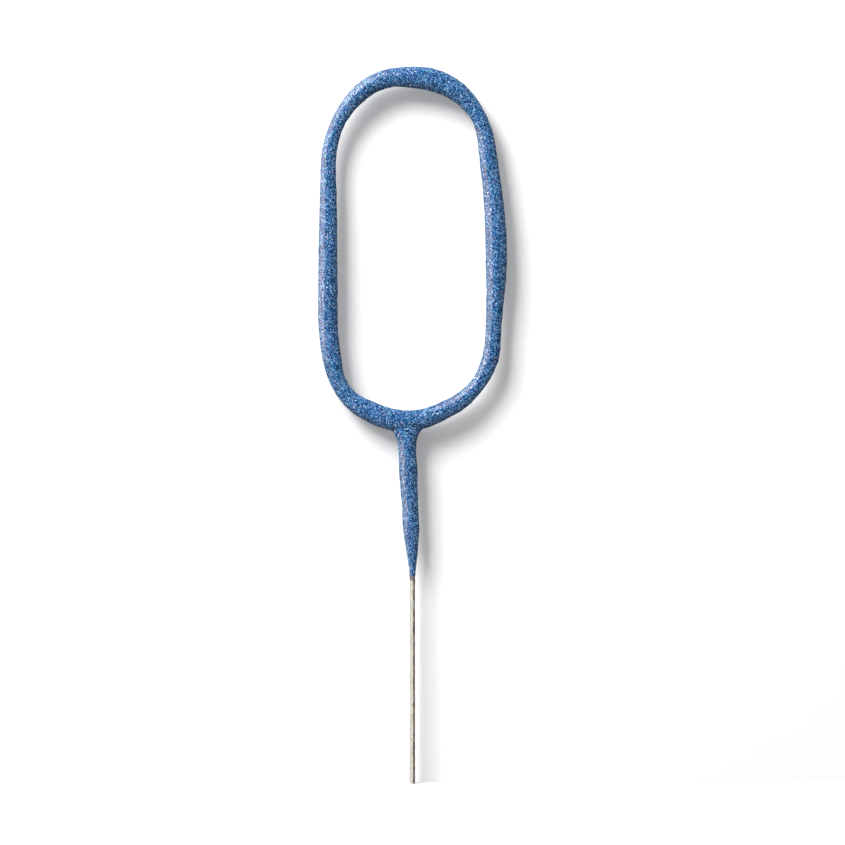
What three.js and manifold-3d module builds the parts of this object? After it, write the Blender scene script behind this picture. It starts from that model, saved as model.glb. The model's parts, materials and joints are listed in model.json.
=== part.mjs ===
// A number sparkler candle in the shape of a nought: one thin steel wire bent to the figure, dipped in
// spark compound, with a skin of blue glitter lacquer over the compound and a bare wire handle below.
// Millimetres, +Z up. The figure lies in the XZ plane and its front faces -Y. The origin is the centre
// of the cut face at the bottom of the handle.

import * as THREE from "three";
import Module from "manifold-3d";

const wasm = await Module();
wasm.setup();

// Driving dimensions of the wire

const wireDiameter = 1.3;
const bareHandleLength = 50;
const stemLength = 38.1; // from the compound's tip up to the nought's foot
const stemStraight = 7; // the stem stays upright this far above the tip before it leans
const stemDrift = -1.5; // the stem leans this far sideways on its way up to the shoulder
const stemBendRadius = 60;
const shoulderBendRadius = 4;
const tailBendRadius = 14;
const tailStop = 0.6; // the tail is cut this far short of where the arm starts to bend
const lapGap = 0.4;
const lapRise = 0.3; // the two runs of the lap lie this far above the middle of the arm
const heelEase = 2; // the wire turns this much wider than its coat at the left heel

// Driving dimensions of the nought's centre line, from its foot, where the lines of both arms meet

const footDrift = -1.5;
const footRadius = 17.3;
const leftHeelReach = 16.3;
const leftHeelRise = 7.5;
const leftHeelRadius = 18.1;
const leftHipReach = 19.5;
const leftHipRise = 21.4;
const leftHipRadius = 83;
const crownLeftReach = 19.3;
const crownLeftRise = 76.3;
const crownLeftRadius = 24.1;
const crownTopReach = 6.6;
const crownTopRise = 87.5;
const crownTopRadius = 15;
const crownRightReach = 17.9;
const crownRightRise = 86.2;
const crownRightRadius = 18;
const rightHipReach = 22.9;
const rightHipRise = 47.3;
const rightHipRadius = 162;
const rightHeelReach = 20.8;
const rightHeelRise = 9.9;
const rightHeelRadius = 18.8;

// Driving dimensions of the compound and of the glitter skin

const noughtCompoundRadius = 1.82;
const stemCompoundRadius = 1.76;
const tipWall = 0.07; // compound round the wire at its feathered tip
const taperLength = 12.6; // from the glitter's lower edge up to the stem's full thickness
const bareCollarLength = 1.4; // compound that the glitter leaves uncovered at the tip
const glitterSkin = 0.3;
const glitterFeather = 0.06; // the skin's thickness at its lower edge
const webHeight = 5.8; // the compound that pools in the corners between the stem and both arms
const webReach = 3.6;
const webOverlap = 0.8; // the web's top lies this far inside the nought's lower edge
const bondGap = 0.04;
const tailClearance = 0.2; // past the cut end of the tail

// Swellings and necks that the dip left: where along the figure, how much radius and over what reach.
// On the nought the place is a share of the way round, clockwise from the middle of the left side.

const noughtSwells = [
  { share: 0.135, gain: -0.4, reach: 31 },
  { share: 0.178, gain: 0.41, reach: 12 },
  { share: 0.253, gain: 0.73, reach: 15.5 },
  { share: 0.33, gain: -0.22, reach: 7.2 },
  { share: 0.379, gain: 0.11, reach: 5 },
  { share: 0.477, gain: 0.52, reach: 27 },
  { share: 0.555, gain: -0.26, reach: 14.5 },
  { share: 0.638, gain: -0.33, reach: 8 },
  { share: 0.755, gain: 0.57, reach: 20 },
  { share: 0.815, gain: -0.37, reach: 9.6 },
  { share: 0.92, gain: 0.29, reach: 35 },
];

// On the stem it is the height above the compound's tip.

const stemSwells = [
  { above: 10, gain: -0.1, reach: 3 },
  { above: 17.5, gain: -0.04, reach: 5 },
  { above: 25, gain: 0.16, reach: 5 },
  { above: 28.5, gain: 0.18, reach: 4 },
  { above: 33, gain: 0.1, reach: 4 },
];

// Facets

const wireSides = 8;
const compoundSides = 12;
const glitterSides = 16;
const noughtRings = 76;
const stemRingPitch = 2.6;
const webRings = 5;
const bendStep = THREE.MathUtils.degToRad(9);
const shortestRun = 0.01;

// Sizes that follow

const wireRadius = wireDiameter / 2;
const glitterEdgeHeight = bareHandleLength + bareCollarLength;
const tipRadius = wireRadius + bondGap + tipWall;
const lapPitch = wireDiameter + lapGap;

// A point of the figure's plane: x across, y up. It becomes X and Z in space.
function point(x, y) {
  return new THREE.Vector2(x, y);
}

// The point where the line through p along u meets the line through q along v.
function meeting(p, u, q, v) {
  const gap = q.clone().sub(p);
  const along = gap.cross(v) / u.cross(v);
  return p.clone().addScaledVector(u, along);
}

// The round bend at a corner that a path reaches along inward and leaves turned by turn, starting at its
// setback before the corner.
function roundBend(corner, inward, turn, setback) {
  const radius = setback / Math.tan(Math.abs(turn) / 2);
  const side = Math.sign(turn);
  const start = corner.clone().addScaledVector(inward, -setback);
  const centre = start.clone().add(point(-inward.y, inward.x).multiplyScalar(side * radius));
  const from = Math.atan2(start.y - centre.y, start.x - centre.x);
  return new THREE.EllipseCurve(centre.x, centre.y, radius, radius, from, from + turn, side < 0);
}

// The bends of a path that starts at one point, turns at each corner and ends at another point. Two bends
// that need more than the run between them both give way, by the same share.
function bendsOf(start, corners, end) {
  const stops = [start, ...corners.map((corner) => corner.at), end];
  const runs = stops.slice(1).map((stop, index) => stop.clone().sub(stops[index]));
  const bends = corners.map(({ at, radius }, index) => {
    const inward = runs[index].clone().normalize();
    const outward = runs[index + 1].clone().normalize();
    const turn = Math.atan2(inward.cross(outward), inward.dot(outward));
    return { at, inward, turn, setback: radius * Math.tan(Math.abs(turn) / 2) };
  });
  const room = runs.map((run, index) => {
    const before = index > 0 ? bends[index - 1].setback : 0;
    const after = index < bends.length ? bends[index].setback : 0;
    return Math.min(1, run.length() / (before + after));
  });
  return bends.map(({ at, inward, turn, setback }, index) => {
    const share = Math.min(room[index], room[index + 1]);
    return roundBend(at, inward, turn, setback * share);
  });
}

// Adds a straight run, unless two bends meet without one.
function addRun(path, from, to) {
  if (from.distanceTo(to) > shortestRun) {
    path.add(new THREE.LineCurve(from, to));
  }
}

// A path of straight runs joined by those bends.
function bentPath(start, corners, end) {
  const path = new THREE.CurvePath();
  let from = start;
  for (const bend of bendsOf(start, corners, end)) {
    addRun(path, from, bend.getPoint(0));
    path.add(bend);
    from = bend.getPoint(1);
  }
  addRun(path, from, end);
  return path;
}

// The nought's foot and its other corners, each with the radius of its bend.
const foot = point(footDrift, bareHandleLength + stemLength);

function fromFoot(reach, rise) {
  return foot.clone().add(point(reach, rise));
}

const leftHeel = { at: fromFoot(-leftHeelReach, leftHeelRise), radius: leftHeelRadius };
const leftHip = { at: fromFoot(-leftHipReach, leftHipRise), radius: leftHipRadius };
const crownLeft = { at: fromFoot(-crownLeftReach, crownLeftRise), radius: crownLeftRadius };
const crownTop = { at: fromFoot(-crownTopReach, crownTopRise), radius: crownTopRadius };
const crownRight = { at: fromFoot(crownRightReach, crownRightRise), radius: crownRightRadius };
const rightHip = { at: fromFoot(rightHipReach, rightHipRise), radius: rightHipRadius };
const rightHeel = { at: fromFoot(rightHeelReach, rightHeelRise), radius: rightHeelRadius };
const footBend = { at: foot, radius: footRadius };

// The closed centre line of the dipped nought, clockwise from the middle of the left side and back to it.
function noughtCentreLine() {
  const corners = [crownLeft, crownTop, crownRight, rightHip, rightHeel, footBend, leftHeel, leftHip];
  const middleOfSide = leftHip.at.clone().lerp(crownLeft.at, 0.5);
  return bentPath(middleOfSide, corners, middleOfSide);
}

// The lap on the left arm: the wire sets out along the lower run, and its tail comes back along the upper
// one. The shoulder is the corner where the stem's line would meet the lower run.
const armAlong = leftHeel.at.clone().sub(foot).normalize();
const armUp = point(armAlong.y, -armAlong.x);
const lowerRise = lapRise - lapPitch / 2;
const upperRise = lapRise + lapPitch / 2;
const lowerRun = foot.clone().addScaledVector(armUp, lowerRise);
const upperRun = foot.clone().addScaledVector(armUp, upperRise);
const shoulder = meeting(lowerRun, armAlong, point(stemDrift, 0), point(0, 1));
const wireHeel = {
  at: leftHeel.at.clone().addScaledVector(armUp, lowerRise),
  radius: leftHeelRadius + heelEase,
};

// The end of the tail, on the upper run, short of where the lower one starts to bend.
function tailEnd() {
  const heelStart = bendsOf(shoulder, [wireHeel], leftHip.at)[0].getPoint(0);
  const lap = heelStart.sub(upperRun).dot(armAlong) - tailStop;
  return upperRun.clone().addScaledVector(armAlong, lap);
}

// The bend of the whole wire: handle, stem, shoulder, once round the nought, and the tail on the arm.
function wireCentreLine() {
  const rightArm = foot.clone().sub(rightHeel.at).normalize();
  const corners = [
    { at: point(0, bareHandleLength + stemStraight), radius: stemBendRadius },
    { at: shoulder, radius: shoulderBendRadius },
    wireHeel,
    leftHip,
    crownLeft,
    crownTop,
    crownRight,
    rightHip,
    rightHeel,
    { at: meeting(upperRun, armAlong, rightHeel.at, rightArm), radius: tailBendRadius },
  ];
  return bentPath(point(0, 0), corners, tailEnd());
}

// One ring of a sweep: its centre and heading in the figure's plane, and its half widths in the plane
// and across it.
function station(centre, heading, inPlane, across) {
  return { centre, heading, inPlane, across };
}

// A closed solid swept through its stations: capped at both ends, or joined end to start.
function sweptSolid(stations, sides, joined) {
  const corners = [];
  for (const { centre, heading, inPlane, across } of stations) {
    for (let side = 0; side < sides; side += 1) {
      const angle = (side / sides) * 2 * Math.PI;
      const offset = Math.sin(angle) * inPlane;
      const x = centre.x - heading.y * offset;
      const z = centre.y + heading.x * offset;
      corners.push(x, Math.cos(angle) * across, z);
    }
  }
  const faces = [];
  const rings = stations.length;
  const spans = joined ? rings : rings - 1;
  for (let ring = 0; ring < spans; ring += 1) {
    const here = ring * sides;
    const next = ((ring + 1) % rings) * sides;
    for (let side = 0; side < sides; side += 1) {
      const turned = (side + 1) % sides;
      faces.push(here + side, here + turned, next + turned);
      faces.push(here + side, next + turned, next + side);
    }
  }
  if (!joined) {
    const last = (rings - 1) * sides;
    for (let side = 1; side < sides - 1; side += 1) {
      faces.push(0, side + 1, side);
      faces.push(last, last + side, last + side + 1);
    }
  }
  const vertProperties = new Float32Array(corners);
  const triVerts = new Uint32Array(faces);
  return new wasm.Manifold(new wasm.Mesh({ numProp: 3, vertProperties, triVerts }));
}

// Stations along the wire: one span for each straight, and bends cut in equal small turns.
function wireStations(radius, tailExtension) {
  const path = wireCentreLine();
  const places = [];
  path.curves.forEach((run, index) => {
    const turn = run.isLineCurve ? 0 : Math.abs(run.aEndAngle - run.aStartAngle);
    const spans = Math.max(1, Math.ceil(turn / bendStep));
    for (let span = index === 0 ? 0 : 1; span <= spans; span += 1) {
      const centre = run.getPoint(span / spans);
      const heading = run.getTangent(span / spans);
      places.push(station(centre, heading, radius, radius));
    }
  });
  const tail = places[places.length - 1];
  tail.centre.addScaledVector(tail.heading, tailExtension);
  return places;
}

// A smooth hump: whole at its middle and nothing at its reach.
function hump(distance, reach) {
  const share = Math.min(Math.abs(distance) / reach, 1);
  return 0.5 + 0.5 * Math.cos(share * Math.PI);
}

// The layers round the wire. Each gives its radius from the compound's radius at the same place, the
// taper's share of full thickness there, and how far down its stem reaches.
const compoundLayer = {
  sides: compoundSides,
  lowerEdge: bareHandleLength,
  thickness: () => 0,
};

const glitterInside = {
  sides: compoundSides,
  lowerEdge: bareHandleLength - bondGap,
  thickness: () => bondGap,
};

const glitterOutside = {
  sides: glitterSides,
  lowerEdge: glitterEdgeHeight,
  thickness: (share) => bondGap + THREE.MathUtils.lerp(glitterFeather, glitterSkin, share),
};

// The closed ring of one layer: the nought without its stem.
function noughtRing(layer) {
  const path = noughtCentreLine();
  const around = path.getLength();
  const stations = [];
  for (let ring = 0; ring < noughtRings; ring += 1) {
    const share = ring / noughtRings;
    let radius = noughtCompoundRadius + layer.thickness(1);
    for (const swell of noughtSwells) {
      const apart = Math.abs(share - swell.share);
      radius += swell.gain * hump(Math.min(apart, 1 - apart) * around, swell.reach);
    }
    stations.push(station(path.getPointAt(share), path.getTangentAt(share), radius, radius));
  }
  return sweptSolid(stations, layer.sides, true);
}

// The middle of the foot's bend, where the nought's centre line is lowest above the stem.
const footMiddle = bendsOf(rightHeel.at, [footBend], leftHeel.at)[0].getPoint(0.5);

// The height at which a layer's web starts to flare: its full reach lies just inside the nought's lower
// edge.
function webFootOf(layer) {
  const lowerEdge = footMiddle.y - noughtCompoundRadius - layer.thickness(1);
  return lowerEdge + webOverlap - webHeight;
}

// The heights of a layer's stem rings: even steps up to the web, closer ones through it, and the last one
// on the nought's centre line.
function stemHeights(layer) {
  const webFoot = webFootOf(layer);
  const spans = Math.ceil((webFoot - layer.lowerEdge) / stemRingPitch);
  const heights = [];
  for (let ring = 0; ring < spans; ring += 1) {
    heights.push(THREE.MathUtils.lerp(layer.lowerEdge, webFoot, ring / spans));
  }
  for (let ring = 0; ring <= webRings; ring += 1) {
    heights.push(webFoot + webHeight * Math.sin((ring / webRings) * (Math.PI / 2)));
  }
  heights.push(footMiddle.y);
  return heights;
}

// The stem of one layer: it swells from its feathered tip and flares in the figure's plane as a web that
// ends inside the nought's ring.
function stemBody(layer) {
  const webFoot = webFootOf(layer);
  const stations = stemHeights(layer).map((height) => {
    const above = height - bareHandleLength;
    const share = THREE.MathUtils.smoothstep(above - bareCollarLength, 0, taperLength);
    let radius = THREE.MathUtils.lerp(tipRadius, stemCompoundRadius, share) + layer.thickness(share);
    for (const swell of stemSwells) {
      radius += swell.gain * hump(above - swell.above, swell.reach);
    }
    const climb = THREE.MathUtils.clamp((height - webFoot) / webHeight, 0, 1);
    const flare = webReach * (1 - Math.sqrt(1 - climb * climb));
    const way = Math.max(above - stemStraight, 0) / (shoulder.y - bareHandleLength - stemStraight);
    return station(point(stemDrift * way, height), point(0, 1), radius + flare, radius);
  });
  return sweptSolid(stations, layer.sides, false);
}

function layerBody(layer) {
  return noughtRing(layer).add(stemBody(layer));
}

// The bent wire, one piece from the cut face at the bottom to the end of its tail.
function wireSolid() {
  return sweptSolid(wireStations(wireRadius, 0), wireSides, false);
}

// The spark compound: the dipped body round the wire, with the channel that the wire fills.
function compoundSolid() {
  const channel = sweptSolid(wireStations(wireRadius + bondGap, tailClearance), wireSides, false);
  return layerBody(compoundLayer).subtract(channel);
}

// The glitter lacquer: a skin over the compound, open at its lower edge.
function glitterSolid() {
  return layerBody(glitterOutside).subtract(layerBody(glitterInside));
}

// A solid as a three.js mesh with its material and its name.
function namedMesh(name, solid, color, roughness, metalness) {
  const { vertProperties, triVerts } = solid.getMesh();
  const geometry = new THREE.BufferGeometry();
  geometry.setAttribute("position", new THREE.BufferAttribute(vertProperties, 3));
  geometry.setIndex(new THREE.BufferAttribute(triVerts, 1));
  geometry.computeVertexNormals();
  const mesh = new THREE.Mesh(geometry, new THREE.MeshStandardMaterial({ color, roughness, metalness }));
  mesh.name = name;
  return mesh;
}

const sparkler = new THREE.Group();
sparkler.add(namedMesh("wire_frame", wireSolid(), 0xb8b2a8, 0.35, 1));
sparkler.add(namedMesh("spark_compound", compoundSolid(), 0x8c8981, 0.95, 0));
sparkler.add(namedMesh("glitter_coat", glitterSolid(), 0x3f6fb4, 0.35, 0.6));

export default sparkler;
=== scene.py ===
"""Looks of a number sparkler candle: a bent steel wire dipped in spark compound under blue glitter lacquer.

Metres, +Z up. The figure lies in the XZ plane and its front faces -Y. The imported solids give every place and
size; the classes below dress them with their fine surface.
"""

import json
import logging
import math
from dataclasses import dataclass
from enum import Enum
from typing import Any

import bmesh
import bpy
from mathutils import Color, Matrix, Vector, noise

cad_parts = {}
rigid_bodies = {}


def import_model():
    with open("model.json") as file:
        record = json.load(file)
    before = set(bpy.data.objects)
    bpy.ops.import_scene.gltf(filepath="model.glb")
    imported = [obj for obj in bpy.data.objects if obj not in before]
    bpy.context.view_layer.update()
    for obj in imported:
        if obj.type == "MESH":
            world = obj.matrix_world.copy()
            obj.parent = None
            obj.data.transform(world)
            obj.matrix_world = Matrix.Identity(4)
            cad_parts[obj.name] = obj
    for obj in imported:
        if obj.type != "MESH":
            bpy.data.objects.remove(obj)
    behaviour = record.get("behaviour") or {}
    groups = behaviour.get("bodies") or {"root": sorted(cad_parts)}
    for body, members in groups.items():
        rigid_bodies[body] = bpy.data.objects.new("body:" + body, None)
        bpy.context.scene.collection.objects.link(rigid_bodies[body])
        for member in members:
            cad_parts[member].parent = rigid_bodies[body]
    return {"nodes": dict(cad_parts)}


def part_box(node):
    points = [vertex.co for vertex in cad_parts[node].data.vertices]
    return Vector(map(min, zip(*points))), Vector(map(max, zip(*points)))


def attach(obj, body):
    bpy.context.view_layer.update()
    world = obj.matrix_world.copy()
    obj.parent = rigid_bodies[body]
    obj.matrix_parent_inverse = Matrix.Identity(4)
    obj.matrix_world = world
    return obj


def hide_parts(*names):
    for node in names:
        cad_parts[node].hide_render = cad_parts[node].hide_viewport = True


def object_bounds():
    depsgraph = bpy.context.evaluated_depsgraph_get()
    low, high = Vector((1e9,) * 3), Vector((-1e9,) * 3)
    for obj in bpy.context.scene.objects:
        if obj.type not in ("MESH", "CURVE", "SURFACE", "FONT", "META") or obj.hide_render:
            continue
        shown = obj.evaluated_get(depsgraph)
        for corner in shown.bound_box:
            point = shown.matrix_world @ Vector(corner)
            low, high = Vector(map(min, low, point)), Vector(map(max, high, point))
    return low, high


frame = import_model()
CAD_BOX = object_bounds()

LOG = logging.getLogger("sparkler")
MM = 0.001
BODY = "root"
MERGE_DISTANCE = 1e-7
FOIL_ROUGHNESS = 0.5
WHOLE = 100

Triple = tuple[float, float, float]
Colour = Triple


def srgb(red: int, green: int, blue: int) -> Colour:
    """A colour as a screen shows it, from 0 to 255, in the linear light that shaders take.

    Args:
        red: The red share, 0 to 255.
        green: The green share, 0 to 255.
        blue: The blue share, 0 to 255.

    Returns:
        The three linear shares, 0 to 1.
    """
    shown = Color((red / 255, green / 255, blue / 255))
    return tuple(shown.from_srgb_to_scene_linear())


def opaque(colour: Colour) -> tuple[float, float, float, float]:
    """A colour with full alpha, as sockets take it."""
    return (*colour, 1.0)


def smooth_step(value: float, low: float, high: float) -> float:
    """A smooth rise.

    Args:
        value: Where on the rise.
        low: The value at and below which it is 0.
        high: The value at and above which it is 1.

    Returns:
        The rise, from 0 to 1.
    """
    share = min(max((value - low) / (high - low), 0.0), 1.0)
    return share * share * (3 - 2 * share)


class Value:
    """A node's output socket that Python sums can use."""

    def __init__(self, sheet: "Sheet", socket: bpy.types.NodeSocket) -> None:
        """Wraps a socket.

        Args:
            sheet: The sheet that the socket's node is on.
            socket: The output socket.
        """
        self.sheet = sheet
        self.socket = socket

    def also(self, out: int | str) -> "Value":
        """Another output of the same node."""
        return Value(self.sheet, self.socket.node.outputs[out])

    def sum(self, operation: str, first: Any, second: Any = 0.0, third: Any = 0.0) -> "Value":
        """One Math node.

        Args:
            operation: The node's operation.
            first: Its first value, a number or another Value.
            second: Its second value.
            third: Its third value, if it takes one.

        Returns:
            The node's result.
        """
        return self.sheet.node("ShaderNodeMath", {"operation": operation}, {0: first, 1: second, 2: third})

    def __add__(self, other: Any) -> "Value":
        """This plus other."""
        return self.sum("ADD", self, other)

    def __radd__(self, other: Any) -> "Value":
        """Other plus this."""
        return self.sum("ADD", other, self)

    def __sub__(self, other: Any) -> "Value":
        """This less other."""
        return self.sum("SUBTRACT", self, other)

    def __rsub__(self, other: Any) -> "Value":
        """Other less this."""
        return self.sum("SUBTRACT", other, self)

    def __mul__(self, other: Any) -> "Value":
        """This times other."""
        return self.sum("MULTIPLY", self, other)

    def __rmul__(self, other: Any) -> "Value":
        """Other times this."""
        return self.sum("MULTIPLY", other, self)

    def __gt__(self, other: Any) -> "Value":
        """One where this is greater than other, else nothing."""
        return self.sum("GREATER_THAN", self, other)

    def near(self, other: Any, reach: float) -> "Value":
        """One where this is no further from other than reach, else nothing."""
        return self.sum("COMPARE", self, other, reach)

    def step(self, low: float, high: float) -> "Value":
        """A smooth step.

        Args:
            low: The value at and below which the step is 0.
            high: The value at and above which it is 1. It may be the lower one, for a falling step.

        Returns:
            The step, from 0 to 1.
        """
        settings = {"interpolation_type": "SMOOTHSTEP"}
        return self.sheet.node("ShaderNodeMapRange", settings, {0: self, 1: low, 2: high})


class Sheet:
    """A node tree of any kind."""

    def __init__(self, tree: bpy.types.NodeTree) -> None:
        """Empties the tree."""
        self.tree = tree
        self.tree.nodes.clear()

    def node(self, kind: str, settings: dict[str, Any] | None = None,
             inputs: dict[int | str, Any] | None = None, out: int | str = 0) -> Value:
        """Adds one node.

        Args:
            kind: The node's type.
            settings: Its own settings, made before its sockets are used.
            inputs: What each input socket gets: a Value's link, or a number, colour, vector or object.
            out: The output socket that is returned.

        Returns:
            That output, or nothing if the node has none.
        """
        made = self.tree.nodes.new(kind)
        for name, setting in (settings or {}).items():
            setattr(made, name, setting)
        for name, given in (inputs or {}).items():
            if isinstance(given, Value):
                self.tree.links.new(given.socket, made.inputs[name])
            else:
                made.inputs[name].default_value = given
        return Value(self, made.outputs[out]) if made.outputs else None

    def clouds(self, place: Value, grain: float, detail: float = 2.0) -> Value:
        """Soft noise.

        Args:
            place: The place that it reads.
            grain: The size of its clouds, in the units of the place.
            detail: How many finer layers it has.

        Returns:
            The noise, 0 to 1.
        """
        inputs = {"Vector": place, "Scale": 1 / grain, "Detail": detail}
        return self.node("ShaderNodeTexNoise", inputs=inputs)


class MaterialSheet(Sheet):
    """The node tree of a new material."""

    def __init__(self, name: str) -> None:
        """Makes the material and empties its tree.

        Args:
            name: The material's name.
        """
        self.material = bpy.data.materials.new(name)
        self.material.use_nodes = True
        super().__init__(self.material.node_tree)
        self.place = self.node("ShaderNodeTexCoord", out="Object")

    def across(self, axis: str) -> Value:
        """The point's place along one axis, in metres."""
        return self.node("ShaderNodeSeparateXYZ", inputs={0: self.place}, out=axis)

    def stretched(self, scale: Triple) -> Value:
        """The point's place times its own factor along each axis."""
        return self.node("ShaderNodeMapping", inputs={"Vector": self.place, "Scale": scale})

    def cells(self, grain: float, out: str) -> Value:
        """Cells of a size in metres, by their random Color or by the Distance from their middles."""
        return self.node("ShaderNodeTexVoronoi", inputs={"Vector": self.place, "Scale": 1 / grain}, out=out)

    def share_of(self, colour: Value, channel: str) -> Value:
        """One channel of a colour."""
        return self.node("ShaderNodeSeparateColor", inputs={0: colour}, out=channel)

    def ramp(self, factor: Value, stops: list[tuple[float, Colour]]) -> Value:
        """A colour ramp.

        Args:
            factor: Where on the ramp.
            stops: Each stop's place and colour, in rising order.

        Returns:
            The ramp's colour.
        """
        made = self.node("ShaderNodeValToRGB", inputs={"Fac": factor})
        elements = made.socket.node.color_ramp.elements
        while len(elements) < len(stops):
            elements.new(1.0)
        for element, (place, colour) in zip(elements, stops):
            element.position = place
            element.color = opaque(colour)
        return made

    def blend(self, factor: Any, first: Any, second: Any) -> Value:
        """One colour over another.

        Args:
            factor: How much of the second shows.
            first: The first colour.
            second: The second colour.

        Returns:
            The blended colour.
        """
        return self.node("ShaderNodeMix", {"data_type": "RGBA"}, {0: factor, 6: first, 7: second}, out=2)

    def bump(self, height: Value, depth: float) -> Value:
        """A normal that is bumped by a height of 0 to 1, where 1 stands for depth in metres."""
        return self.node("ShaderNodeBump", inputs={"Height": height, "Distance": depth})

    def principled(self, **inputs: Any) -> bpy.types.Material:
        """Ends the material with a Principled shader.

        Args:
            **inputs: The shader's sockets by name, with _ for a space.

        Returns:
            The material.
        """
        named = {name.replace("_", " "): given for name, given in inputs.items()}
        return self.finish(self.node("ShaderNodeBsdfPrincipled", inputs=named))

    def finish(self, shader: Value) -> bpy.types.Material:
        """Sends a shader to the output and returns the material."""
        self.node("ShaderNodeOutputMaterial", inputs={"Surface": shader})
        return self.material


def seen_rays(sheet: Sheet) -> Value:
    """One for the rays by which the camera sees a thing straight, mirrored or through glass."""
    path = sheet.node("ShaderNodeLightPath", out="Is Camera Ray")
    return path + path.also("Is Glossy Ray") + path.also("Is Transmission Ray") > 0.5


@dataclass(frozen=True)
class DrawnSteel:
    """Bare drawn wire, pale and faintly lined along its length; painted shade makes its +X side a flecked
    brown band.

    Where a splash of the dip has dried below the compound, a thin grey film hides the band of painted shade.
    """

    radius: float
    pale: Colour = srgb(222, 220, 214)
    dull: Colour = srgb(176, 172, 164)
    cream: Colour = srgb(208, 196, 174)
    speck: Colour = srgb(138, 126, 108)
    # The band of painted shade down the +X side: brown, with dark flecks.
    shade_brown: Colour = srgb(150, 124, 96)
    dark: Colour = srgb(60, 44, 32)
    film: Colour = srgb(158, 166, 156)
    film_from: float = 43.4 * MM
    film_to: float = 45.5 * MM
    film_edge: float = 0.25 * MM
    roughness: float = 0.45
    # Where the painted shade band rises across the wire, in radii along X, and how far its edge wavers.
    shade_band_from: float = 0.12
    shade_band_to: float = 0.42
    shade_band_waver: float = 0.6
    line_stretch: Triple = (14000, 14000, 260)
    line_depth: float = 0.003 * MM
    waver_reach: float = 1.6 * MM
    stain_reach: float = 3 * MM
    stain_share: float = 0.5
    speck_reach: float = 0.4 * MM
    speck_share: float = 0.6
    # Flecks of the painted shade band, and the metal it takes away and the roughness it adds.
    shade_fleck_reach: float = 0.9 * MM
    shade_dullness: float = 0.85
    shade_roughness: float = 0.2

    def material(self) -> bpy.types.Material:
        """Draws the lines, the stains, the specks, the band of painted shade and the film.

        Returns:
            The finish as a material.
        """
        sheet = MaterialSheet("drawn_steel")
        waver = sheet.clouds(sheet.place, self.waver_reach, 3) - 0.5
        # Painted shade: the wire's +X side, away from the light, becomes a dark brown band.
        side = sheet.across("X") * (1 / self.radius) + waver * self.shade_band_waver
        shade_band = side.step(self.shade_band_from, self.shade_band_to)
        lines = sheet.clouds(sheet.stretched(self.line_stretch), 1, 3)
        steel = sheet.ramp(lines, [(0.38, self.dull), (0.58, self.pale)])
        stain = sheet.clouds(sheet.place, self.stain_reach, 4).step(0.45, 0.7) * self.stain_share
        steel = sheet.blend(stain, steel, opaque(self.cream))
        specks = sheet.clouds(sheet.place, self.speck_reach, 3).step(0.56, 0.66) * self.speck_share
        steel = sheet.blend(specks, steel, opaque(self.speck))
        # The colour of the painted shade band, brown with dark flecks; scale holds it.
        shade_flecks = sheet.clouds(sheet.place, self.shade_fleck_reach)
        scale = sheet.ramp(shade_flecks, [(0.38, self.dark), (0.6, self.shade_brown)])
        height = sheet.across("Z") + waver * self.film_edge * 2
        film = (height.step(self.film_from, self.film_from + self.film_edge)
                * height.step(self.film_to, self.film_to - self.film_edge))
        scale = sheet.blend(film, scale, opaque(self.film))
        # The band of painted shade darkens the colour and takes away metal and gloss on the +X side.
        return sheet.principled(Base_Color=sheet.blend(shade_band, steel, scale),
                                Metallic=1 - shade_band * self.shade_dullness,
                                Roughness=self.roughness + shade_band * self.shade_roughness,
                                Normal=sheet.bump(lines, self.line_depth))


@dataclass(frozen=True)
class SparkCrust:
    """The dry grey crust of metal powder and salt."""

    pale: Colour = srgb(170, 166, 160)
    middle: Colour = srgb(118, 114, 112)
    dark: Colour = srgb(58, 56, 62)
    grain: float = 0.16 * MM
    cloud_reach: float = 0.7 * MM
    cloud_share: float = 0.3
    relief: float = 0.02 * MM
    metal_from: float = 0.85
    metal: float = 0.6
    roughness: float = 0.75
    roughness_spread: float = 0.2

    def material(self) -> bpy.types.Material:
        """Mixes grains of salt with grains of metal.

        Returns:
            The finish as a material.
        """
        sheet = MaterialSheet("spark_crust")
        tone = sheet.share_of(sheet.cells(self.grain, "Color"), "Red")
        cloud = sheet.clouds(sheet.place, self.cloud_reach, 3)
        stops = [(0.1, self.dark), (0.45, self.middle), (0.9, self.pale)]
        shade = tone * (1 - self.cloud_share) + cloud * self.cloud_share
        height = sheet.cells(self.grain, "Distance") + cloud
        return sheet.principled(Base_Color=sheet.ramp(shade, stops),
                                Metallic=(tone > self.metal_from) * self.metal,
                                Roughness=self.roughness + tone * self.roughness_spread,
                                Normal=sheet.bump(height, self.relief))


@dataclass(frozen=True)
class ClearCoat:
    """The clear gloss of the lacquer, over its dust and over its flakes. It is their only gloss."""

    own_gloss: float = 0.0
    weight: float = 0.18
    roughness: float = 0.2
    index: float = 1.9

    def sockets(self) -> dict[str, float]:
        """Gives what a Principled shader gets for this coat.

        Returns:
            The sockets by name, with _ for a space, and their values.
        """
        return {"Specular_IOR_Level": self.own_gloss, "Coat_Weight": self.weight,
                "Coat_Roughness": self.roughness, "Coat_IOR": self.index}


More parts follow.
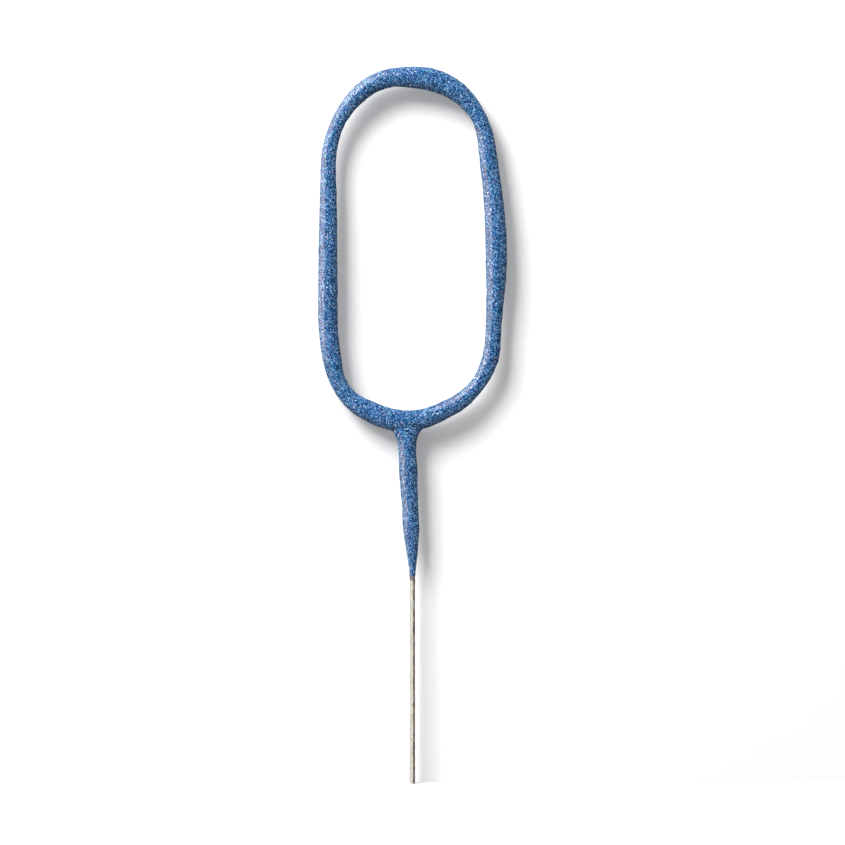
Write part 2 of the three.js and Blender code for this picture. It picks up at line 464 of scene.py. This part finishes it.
@dataclass(frozen=True)
class GlitterLacquer:
    """The lacquer between the flakes, full of finer foil dust."""

    deep: Colour = srgb(2, 36, 84)
    blue: Colour = srgb(12, 70, 132)
    bright: Colour = srgb(50, 118, 190)
    violet: Colour = srgb(66, 84, 156)
    dust: float = 0.27 * MM
    relief: float = 0.015 * MM
    patch: float = 4 * MM
    patch_pull: float = 0.6
    violet_from: float = 1.15
    violet_share: float = 0.5
    metal: float = 0.05
    roughness: float = 0.4
    roughness_spread: float = 0.2

    def material(self) -> bpy.types.Material:
        """Strews dust of every tint, with violet patches.

        Returns:
            The finish as a material.
        """
        sheet = MaterialSheet("glitter_lacquer")
        grains = sheet.cells(self.dust, "Color")
        tone = sheet.share_of(grains, "Red")
        hue = sheet.share_of(grains, "Green")
        colour = sheet.ramp(tone, [(0.2, self.deep), (0.6, self.blue), (0.95, self.bright)])
        violet = hue + sheet.clouds(sheet.place, self.patch) * self.patch_pull > self.violet_from
        colour = sheet.blend(violet * self.violet_share, colour, opaque(self.violet))
        return sheet.principled(Base_Color=colour,
                                Metallic=tone * self.metal,
                                Roughness=self.roughness + hue * self.roughness_spread,
                                Normal=sheet.bump(sheet.cells(self.dust, "Distance"), self.relief),
                                **ClearCoat().sockets())


class Foil(Enum):
    """The foil's tints: their colour, their share in hundredths and how metallic they are."""

    TEAL = (srgb(42, 128, 172), 21, 0.02)
    NAVY = (srgb(4, 58, 104), 24, 0.02)
    ROYAL = (srgb(76, 126, 184), 16, 0.02)
    SKY = (srgb(124, 182, 228), 16, 0.02)
    PALE = (srgb(150, 204, 244), 12, 0.02)
    LAVENDER = (srgb(160, 168, 212), 5, 0.02)
    ICE = (srgb(216, 240, 255), 6, 0.2)

    def __init__(self, colour: Colour, share: int, metallic: float) -> None:
        """Keeps a tint's values.

        Args:
            colour: The foil's colour.
            share: Its share of the flakes' lots, in hundredths.
            metallic: How far it shines like bare metal.
        """
        self.colour = colour
        self.share = share
        self.metallic = metallic

    @property
    def piece(self) -> str:
        """The name of the piece that holds this tint's flakes."""
        return f"foil_{self.name.lower()}"

    def material(self) -> bpy.types.Material:
        """Foil of this tint under the clear coat."""
        return MaterialSheet(self.piece).principled(Base_Color=opaque(self.colour), Metallic=self.metallic,
                                                    Roughness=FOIL_ROUGHNESS, **ClearCoat().sockets())


@dataclass(frozen=True)
class StagePaper:
    """White paper behind and below the part, which throws little light back on it.

    It is clear from its back, so it hides nothing from other sides.
    """

    white: float = 0.97
    bounce: float = 0.2
    glow: float = 0.15

    def material(self) -> bpy.types.Material:
        """Makes paper that is whiter to the camera than to the part.

        Returns:
            The finish as a material.
        """
        sheet = MaterialSheet("stage_paper")
        seen = seen_rays(sheet)
        tone = self.bounce + seen * (self.white - self.bounce)
        paper = sheet.node("ShaderNodeBsdfDiffuse", inputs={"Color": tone})
        glow = sheet.node("ShaderNodeEmission", inputs={"Strength": seen * self.glow})
        lit = sheet.node("ShaderNodeAddShader", inputs={0: paper, 1: glow})
        back = sheet.node("ShaderNodeNewGeometry", out="Backfacing")
        clear = sheet.node("ShaderNodeBsdfTransparent")
        return sheet.finish(sheet.node("ShaderNodeMixShader", inputs={0: back, 1: lit, 2: clear}))


def linked(name: str, mesh: bpy.types.Mesh) -> bpy.types.Object:
    """Puts a mesh in the scene.

    Args:
        name: The new object's name.
        mesh: Its mesh.

    Returns:
        The object.
    """
    piece = bpy.data.objects.new(name, mesh)
    bpy.context.scene.collection.objects.link(piece)
    return piece


def new_piece(name: str, shape: bmesh.types.BMesh, smooth: bool = True) -> bpy.types.Object:
    """Puts a bmesh in the scene as an object and frees it.

    Args:
        name: The piece's name.
        shape: Its shape.
        smooth: Whether its faces are shaded smooth.

    Returns:
        The object.
    """
    mesh = bpy.data.meshes.new(name)
    for face in shape.faces:
        face.smooth = smooth
    shape.to_mesh(mesh)
    shape.free()
    return linked(name, mesh)


def apply_modifiers(piece: bpy.types.Object) -> None:
    """Makes what an object's modifiers show its own mesh.

    Args:
        piece: The object.
    """
    shown = piece.evaluated_get(bpy.context.evaluated_depsgraph_get())
    before = piece.data
    piece.data = bpy.data.meshes.new_from_object(shown)
    piece.modifiers.clear()
    bpy.data.meshes.remove(before)
    piece.data.name = piece.name


def dress(piece: bpy.types.Object, material: bpy.types.Material, slot: str, *replaced: str) -> None:
    """Gives a finished piece its material and its body, hides the solids that it stands for, and logs it.

    Args:
        piece: The piece.
        material: Its material.
        slot: Not used; the record's slot for it.
        *replaced: The solids that it stands for.
    """
    piece.data.materials.clear()
    piece.data.materials.append(material)
    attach(piece, BODY)
    if replaced:
        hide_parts(*replaced)
    LOG.info("%s: %d faces", piece.name, len(piece.data.polygons))


def merged_copy(node: str) -> bmesh.types.BMesh:
    """Copies a solid's mesh, with the corners of its faces shared.

    Args:
        node: The solid.

    Returns:
        The copy.
    """
    shape = bmesh.new()
    shape.from_mesh(frame["nodes"][node].data)
    bmesh.ops.remove_doubles(shape, verts=shape.verts, dist=MERGE_DISTANCE)
    return shape


def island_of(start: bmesh.types.BMVert) -> set[bmesh.types.BMVert]:
    """Finds every vertex that edges join to one vertex.

    Args:
        start: The vertex.

    Returns:
        All of them, the first one too.
    """
    island = {start}
    shore = [start]
    while shore:
        here = shore.pop()
        beside = {edge.other_vert(here) for edge in here.link_edges} - island
        island |= beside
        shore += beside
    return island


def outer_skin(node: str) -> bmesh.types.BMesh:
    """The outside of a layer that is open at its lower rim, with its mouth closed.

    Args:
        node: The layer's solid.

    Returns:
        A closed mesh of its outer surface alone.
    """
    shape = merged_copy(node)
    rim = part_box(node)[0].z + MERGE_DISTANCE
    ring = [face for face in shape.faces if all(vert.co.z < rim for vert in face.verts)]
    bmesh.ops.delete(shape, geom=ring, context="FACES_ONLY")
    outside = island_of(max(shape.verts, key=lambda vert: vert.co.x))
    inside = [vert for vert in shape.verts if vert not in outside]
    bmesh.ops.delete(shape, geom=inside, context="VERTS")
    bmesh.ops.holes_fill(shape, edges=[edge for edge in shape.edges if edge.is_boundary], sides=0)
    return shape


def put_in_order(shape: bmesh.types.BMesh) -> None:
    """Sorts a mesh's vertices and faces by their place, so that every run gives the same mesh.

    Args:
        shape: The mesh.
    """
    places = {vert: tuple(vert.co) for vert in shape.verts}
    rank = {vert: number for number, vert in enumerate(sorted(places, key=places.get))}
    shape.verts.sort(key=rank.get)
    places = {face: tuple(face.calc_center_median()) for face in shape.faces}
    rank = {face: number for number, face in enumerate(sorted(places, key=places.get))}
    shape.faces.sort(key=rank.get)


def sweep(rings: list[Matrix], sides: int) -> bmesh.types.BMesh:
    """A closed round rod through a row of rings.

    Args:
        rings: Each ring's place, heading along Z and radius as scale.
        sides: How many sides it has.

    Returns:
        The rod.
    """
    shape = bmesh.new()
    bmesh.ops.create_circle(shape, segments=sides, radius=1, matrix=rings[0])
    ring = list(shape.edges)
    ends = list(ring)
    for here, there in zip(rings, rings[1:]):
        made = bmesh.ops.extrude_edge_only(shape, edges=ring)["geom"]
        verts = {item for item in made if isinstance(item, bmesh.types.BMVert)}
        edges = [item for item in made if isinstance(item, bmesh.types.BMEdge)]
        ring = [edge for edge in edges if verts.issuperset(edge.verts)]
        bmesh.ops.transform(shape, matrix=there @ here.inverted(), verts=list(verts))
    bmesh.ops.holes_fill(shape, edges=[*ends, *ring], sides=0)
    bmesh.ops.recalc_face_normals(shape, faces=shape.faces)
    put_in_order(shape)
    return shape


@dataclass
class WireWork:
    """The bent wire, round and with the small marks of its drawing and cutting."""

    sides: int = 24
    pitch: float = 0.6 * MM
    cut_depth: float = 0.09 * MM
    cut_share: float = 0.9
    waver: float = 0.012 * MM
    waver_reach: float = 2.2 * MM
    seed: int = 7

    @staticmethod
    def radius() -> float:
        """The wire's radius, half its solid's width across the figure."""
        low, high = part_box("wire_frame")
        return (high.y - low.y) / 2

    @staticmethod
    def route() -> list[Vector]:
        """Follows the wire solid's rings from its cut end to the end of its tail.

        Returns:
            The rings' centres.
        """
        shape = merged_copy("wire_frame")
        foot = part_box("wire_frame")[0].z + MERGE_DISTANCE
        ring = {vert for vert in shape.verts if vert.co.z < foot}
        passed = set(ring)
        centres = []
        while ring:
            corners = sorted(tuple(vert.co) for vert in ring)
            centres.append(sum(map(Vector, corners), Vector()) / len(corners))
            beside = {edge.other_vert(vert) for vert in ring for edge in vert.link_edges}
            ring = beside - passed
            passed |= beside
        shape.free()
        return centres

    def stations(self) -> list[Vector]:
        """Sets places along the route, close enough for the marks to show.

        Returns:
            The places.
        """
        route = self.route()
        places = []
        for here, there in zip(route, route[1:]):
            spans = max(1, round((there - here).length / self.pitch))
            places += [here.lerp(there, span / spans) for span in range(spans)]
        return [*places, route[-1]]

    def rings(self) -> list[Matrix]:
        """Makes a slightly wavering rod with a small chamfer at its cut end.

        Returns:
            The sweep's rings.
        """
        noise.seed_set(self.seed)
        places = self.stations()
        across = Vector((0, 1, 0))
        size = Matrix.Scale(self.radius(), 4)
        rings = []
        for index, here in enumerate(places):
            before = places[max(index - 1, 0)]
            after = places[min(index + 1, len(places) - 1)]
            heading = (after - before).normalized()
            turn = Matrix((across.cross(heading), across, heading)).transposed()
            shift = noise.noise_vector(here / self.waver_reach) * self.waver
            shift.z = 0
            rings.append(Matrix.Translation(here + shift) @ turn.to_4x4() @ size)
        lift = Matrix.Translation((0, 0, self.cut_depth))
        return [rings[0] @ Matrix.Scale(self.cut_share, 4), lift @ rings[0], *rings[1:]]

    def build(self) -> None:
        """Sweeps the round wire and dresses it."""
        wire = new_piece("bent_wire", sweep(self.rings(), self.sides))
        dress(wire, DrawnSteel(self.radius()).material(), "bare_steel_wire", "wire_frame")


@dataclass
class CompoundWork:
    """The spark compound: the dipped body, and its bare grainy collar below the glitter."""

    sides: int = 56
    pitch: float = 0.07 * MM
    collar_height: float = 4.5 * MM
    overlap: float = 0.5 * MM
    thinnest: float = 0.03 * MM
    ragged: float = 0.5 * MM
    ragged_reach: float = 0.45 * MM
    edge_reach: float = 0.25 * MM
    edge_depth: float = 0.12 * MM
    grain: float = 0.17 * MM
    relief: float = 0.06 * MM

    def build_core(self) -> None:
        """Keeps the body that the glitter hides."""
        core = outer_skin("spark_compound")
        cut = Vector((0, 0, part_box("spark_compound")[0].z + self.collar_height - self.overlap))
        bmesh.ops.bisect_plane(core, geom=[*core.verts, *core.edges, *core.faces], plane_co=cut,
                               plane_no=(0, 0, 1), clear_inner=True)
        bmesh.ops.holes_fill(core, edges=[edge for edge in core.edges if edge.is_boundary], sides=0)
        crust = new_piece("compound_core", core)
        dress(crust, SparkCrust().material(), "spark_compound", "spark_compound")

    def build_collar(self) -> None:
        """Builds the collar: a thin grainy crust on the wire, ragged at its lower edge."""
        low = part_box("spark_compound")[0].z
        count = round(self.collar_height / self.pitch)
        size = Matrix.Scale(WireWork.radius() + self.thinnest, 4)
        rings = [Matrix.Translation((0, 0, low + index * self.pitch)) @ size for index in range(count + 1)]
        collar = sweep(rings, self.sides)
        for vert in collar.verts:
            side = Vector((vert.co.x, vert.co.y, 0))
            out = side.normalized()
            edge = low + self.ragged * (0.5 + noise.noise(side / self.ragged_reach))
            sunk = 1 - smooth_step(vert.co.z, edge, edge + self.edge_reach)
            grain = noise.noise(vert.co / self.grain) * self.relief
            vert.co += out * (grain - sunk * self.edge_depth)
        piece = new_piece("compound_collar", collar)
        dress(piece, SparkCrust().material(), "spark_compound")

    def build(self) -> None:
        """Builds the hidden core, then the collar."""
        self.build_core()
        self.build_collar()


@dataclass
class GlitterWork:
    """The glitter lacquer and the foil flakes that are set in it."""

    voxel: float = 0.25 * MM
    smoothing: int = 3
    smoothing_pull: float = 0.5
    inset: float = 0.03 * MM
    tip_inset: float = 0.1 * MM
    tip_reach: float = 6 * MM
    tip_wall: float = 0.09 * MM
    tip_core: float = 0.25 * MM
    tip_from: float = 2 * MM
    tip_to: float = 4 * MM
    edge_waver: float = 0.35 * MM
    lump: float = 0.09 * MM
    lump_reach: float = 2.8 * MM
    grain: float = 0.05 * MM
    grain_reach: float = 0.6 * MM
    flake_sides: int = 6
    flake_radius: float = 0.18 * MM
    flake_depth: float = 0.07 * MM
    flake_top: float = 0.84
    flake_gap: float = 0.27 * MM
    flake_tilt: float = math.radians(12)
    smallest: Triple = (0.7, 0.55, 0.8)
    largest: Triple = (1.15, 1.05, 1.2)
    crowding: float = 6e7
    patch: float = 5 * MM
    patch_pull: float = 0.1
    seed: int = 11
    bare_edge: float = 0.02 * MM
    full_cover: float = 0.6 * MM

    def build_lacquer(self) -> bpy.types.Object:
        """Builds the lacquer's lumpy surface and dresses it.

        Returns:
            The lacquer.
        """
        lacquer = new_piece("glitter_lacquer", outer_skin("glitter_coat"))
        remesh = lacquer.modifiers.new("even", "REMESH")
        remesh.mode = "VOXEL"
        remesh.voxel_size = self.voxel
        remesh.use_smooth_shade = True
        apply_modifiers(lacquer)
        shape = bmesh.new()
        shape.from_mesh(lacquer.data)
        for _ in range(self.smoothing):
            bmesh.ops.smooth_vert(shape, verts=shape.verts, factor=self.smoothing_pull, use_axis_x=True,
                                  use_axis_y=True, use_axis_z=True)
        shape.normal_update()
        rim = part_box("glitter_coat")[0].z
        for vert in shape.verts:
            full = smooth_step(vert.co.z, rim, rim + self.tip_reach)
            lumps = noise.noise(vert.co / self.lump_reach) * self.lump * full
            grains = noise.noise(vert.co / self.grain_reach) * self.grain
            vert.co += vert.normal * (lumps + grains - self.inset - self.tip_inset * (1 - full))
            self.feather(vert, rim)
        shape.to_mesh(lacquer.data)
        shape.free()
        dress(lacquer, GlitterLacquer().material(), "blue_glitter", "glitter_coat")
        return lacquer

    def feather(self, vert: bmesh.types.BMVert, rim: float) -> None:
        """Keeps the lacquer's lowest part outside the wire's crust and makes its edge ragged.

        Args:
            vert: One vertex of the lacquer.
            rim: The height of its lower edge.
        """
        low = 1 - smooth_step(vert.co.z, rim + self.tip_from, rim + self.tip_to)
        out = Vector((vert.co.x, vert.co.y, 0))
        if low > 0 and out.length > self.tip_core:
            least = WireWork.radius() + self.tip_wall
            vert.co += out.normalized() * max(least - out.length, 0) * low
            vert.co.z += noise.noise(out / self.grain_reach) * self.edge_waver * low

    def flake(self) -> bpy.types.Object:
        """Makes one flake with a narrower top, as the pattern for all.

        Returns:
            The flake.
        """
        shape = bmesh.new()
        bmesh.ops.create_cone(shape, cap_ends=True, cap_tris=False, segments=self.flake_sides,
                              radius1=self.flake_radius, radius2=self.flake_radius * self.flake_top,
                              depth=self.flake_depth)
        return new_piece("flake_pattern", shape, smooth=False)

    def scatter_tree(self, pattern: bpy.types.Object, lowest: float, share: float) -> bpy.types.NodeTree:
        """The geometry nodes that set one tint's flakes on the lacquer.

        Args:
            pattern: The flake.
            lowest: The first lot, of a hundred, that has this tint.
            share: How many lots have it.

        Returns:
            The node group.
        """
        tree = bpy.data.node_groups.new("flake_scatter", "GeometryNodeTree")
        tree.interface.new_socket("Lacquer", in_out="INPUT", socket_type="NodeSocketGeometry")
        tree.interface.new_socket("Flakes", in_out="OUTPUT", socket_type="NodeSocketGeometry")
        sheet = Sheet(tree)
        lacquer = sheet.node("NodeGroupInput")
        place = sheet.node("GeometryNodeInputPosition")
        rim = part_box("glitter_coat")[0].z
        height = sheet.node("ShaderNodeSeparateXYZ", inputs={0: place}, out="Z")
        cover = height.step(rim + self.bare_edge, rim + self.full_cover)
        points = sheet.node("GeometryNodeDistributePointsOnFaces", {"distribute_method": "POISSON"},
                            {"Mesh": lacquer, "Distance Min": self.flake_gap, "Density Max": self.crowding,
                             "Density Factor": cover, "Seed": self.seed})
        chance = sheet.node("FunctionNodeRandomValue", {"data_type": "FLOAT"},
                            {2: 0.0, 3: 1.0, "Seed": self.seed + 1}, out=1)
        lot = chance * (1 - self.patch_pull) + sheet.clouds(place, self.patch) * self.patch_pull
        chosen = (lot * WHOLE).near(lowest + share / 2, share / 2)
        tilt = self.flake_tilt
        lean = sheet.node("FunctionNodeRandomValue", {"data_type": "FLOAT_VECTOR"},
                          {0: (-tilt, -tilt, 0), 1: (tilt, tilt, math.tau), "Seed": self.seed + 2})
        lean = sheet.node("FunctionNodeEulerToRotation", inputs={0: lean})
        turned = sheet.node("FunctionNodeRotateRotation", {"rotation_space": "LOCAL"},
                            {0: points.also("Rotation"), 1: lean})
        size = sheet.node("FunctionNodeRandomValue", {"data_type": "FLOAT_VECTOR"},
                          {0: self.smallest, 1: self.largest, "Seed": self.seed + 3})
        shape = sheet.node("GeometryNodeObjectInfo", {"transform_space": "ORIGINAL"}, {"Object": pattern},
                           out="Geometry")
        flakes = sheet.node("GeometryNodeInstanceOnPoints", inputs={
            "Points": points, "Selection": chosen, "Instance": shape, "Rotation": turned, "Scale": size})
        real = sheet.node("GeometryNodeRealizeInstances", inputs={0: flakes})
        sheet.node("NodeGroupOutput", inputs={0: real})
        return tree

    def build_flakes(self, lacquer: bpy.types.Object) -> None:
        """Scatters each tint's flakes on the lacquer.

        Args:
            lacquer: The lacquer.
        """
        pattern = self.flake()
        lowest = 0
        for foil in Foil:
            piece = linked(foil.piece, lacquer.data.copy())
            scatter = piece.modifiers.new("flakes", "NODES")
            scatter.node_group = self.scatter_tree(pattern, lowest, foil.share)
            apply_modifiers(piece)
            dress(piece, foil.material(), "blue_glitter")
            lowest += foil.share
        bpy.data.objects.remove(pattern)

    def build(self) -> None:
        """Builds the lacquer, then its flakes."""
        self.build_flakes(self.build_lacquer())


@dataclass(frozen=True)
class Softbox:
    """A square lamp that looks at the figure's middle."""

    name: str
    towards: Vector
    distance: float
    side: float
    power: float
    tint: Colour = (1.0, 1.0, 1.0)

    def build(self) -> bpy.types.Object:
        """Hangs the lamp.

        Returns:
            The lamp.
        """
        lamp = bpy.data.lights.new(self.name, "AREA")
        lamp.shape = "SQUARE"
        lamp.size = self.side
        lamp.energy = self.power
        lamp.color = self.tint
        hung = bpy.data.objects.new(self.name, lamp)
        direction = self.towards.normalized()
        hung.location = (CAD_BOX[0] + CAD_BOX[1]) / 2 + direction * self.distance
        hung.rotation_euler = direction.to_track_quat("Z", "Y").to_euler()
        bpy.context.scene.collection.objects.link(hung)
        return hung


@dataclass
class Studio:
    """Paper floor and backdrop, soft light from the upper left, and the camera of the photograph."""

    photo_side: float = 845
    photo_scale: float = 4.031 / MM
    wire_end_across: float = 412.4
    wire_end_down: float = 783.5
    camera_distance: float = 1.0
    sensor: float = 36.0
    sight: float = 10.0
    paper_side: float = 4.0
    backdrop_gap: float = 5.0 * MM
    fill: float = 0.5
    key: Softbox = Softbox("key", Vector((-0.76, -1.0, 1.05)), 1.2, 0.56, 17.8)
    panel: Softbox = Softbox("side_panel", Vector((-0.88, -0.14, 0.5)), 1.2, 2.1, 225, (1.0, 0.7, 0.44))

    def build_paper(self) -> None:
        """Lays the floor under the wire's end and stands the backdrop behind the figure."""
        paper = StagePaper().material()
        back = Matrix.Translation((0, self.backdrop_gap, self.paper_side / 2))
        for name, turn in (("floor", Matrix()), ("backdrop", back @ Matrix.Rotation(math.pi / 2, 4, "X"))):
            shape = bmesh.new()
            bmesh.ops.create_grid(shape, x_segments=1, y_segments=1, size=self.paper_side / 2, matrix=turn)
            sheet = new_piece(name, shape, smooth=False)
            sheet.data.materials.append(paper)

    def build_world(self) -> None:
        """Sets the even light from all round, which what sees the background sees as white."""
        world = bpy.data.worlds.new("studio")
        world.use_nodes = True
        bpy.context.scene.world = world
        sheet = Sheet(world.node_tree)
        strength = self.fill + seen_rays(sheet) * (1 - self.fill)
        light = sheet.node("ShaderNodeBackground", inputs={"Strength": strength})
        sheet.node("ShaderNodeOutputWorld", inputs={"Surface": light})

    def build_panel(self) -> None:
        """Hangs the wide panel whose mirror image lies along the left of the lacquer and on nothing else."""
        lamp = self.panel.build()
        lamp.visible_diffuse = False
        lacquered = bpy.data.collections.new("lacquered")
        for piece in bpy.context.scene.objects:
            if piece.name.startswith(("glitter", "foil")):
                lacquered.objects.link(piece)
        lamp.light_linking.receiver_collection = lacquered
        lamp.light_linking.blocker_collection = lacquered

    def build_camera(self) -> None:
        """Stands the camera square to the figure, with the photograph's framing."""
        lens = bpy.data.cameras.new("camera")
        lens.sensor_width = self.sensor
        lens.lens = self.sensor * self.camera_distance / (self.photo_side / self.photo_scale)
        lens.clip_end = self.sight
        camera = bpy.data.objects.new("camera", lens)
        across = (self.photo_side / 2 - self.wire_end_across) / self.photo_scale
        up = (self.wire_end_down - self.photo_side / 2) / self.photo_scale
        camera.location = (across, -self.camera_distance, up)
        camera.rotation_euler = (math.pi / 2, 0, 0)
        bpy.context.scene.collection.objects.link(camera)
        bpy.context.scene.camera = camera

    def build(self) -> None:
        """Sets the stage, the light and the camera."""
        self.build_paper()
        self.build_world()
        self.key.build()
        self.build_panel()
        self.build_camera()
        bpy.context.scene.view_settings.view_transform = "Standard"


def main() -> None:
    """Builds the part's pieces in order, then its stage."""
    logging.basicConfig(level=logging.INFO, format="%(name)s %(message)s")
    for work in (WireWork(), CompoundWork(), GlitterWork(), Studio()):
        work.build()


if __name__ == "__main__":
    main()
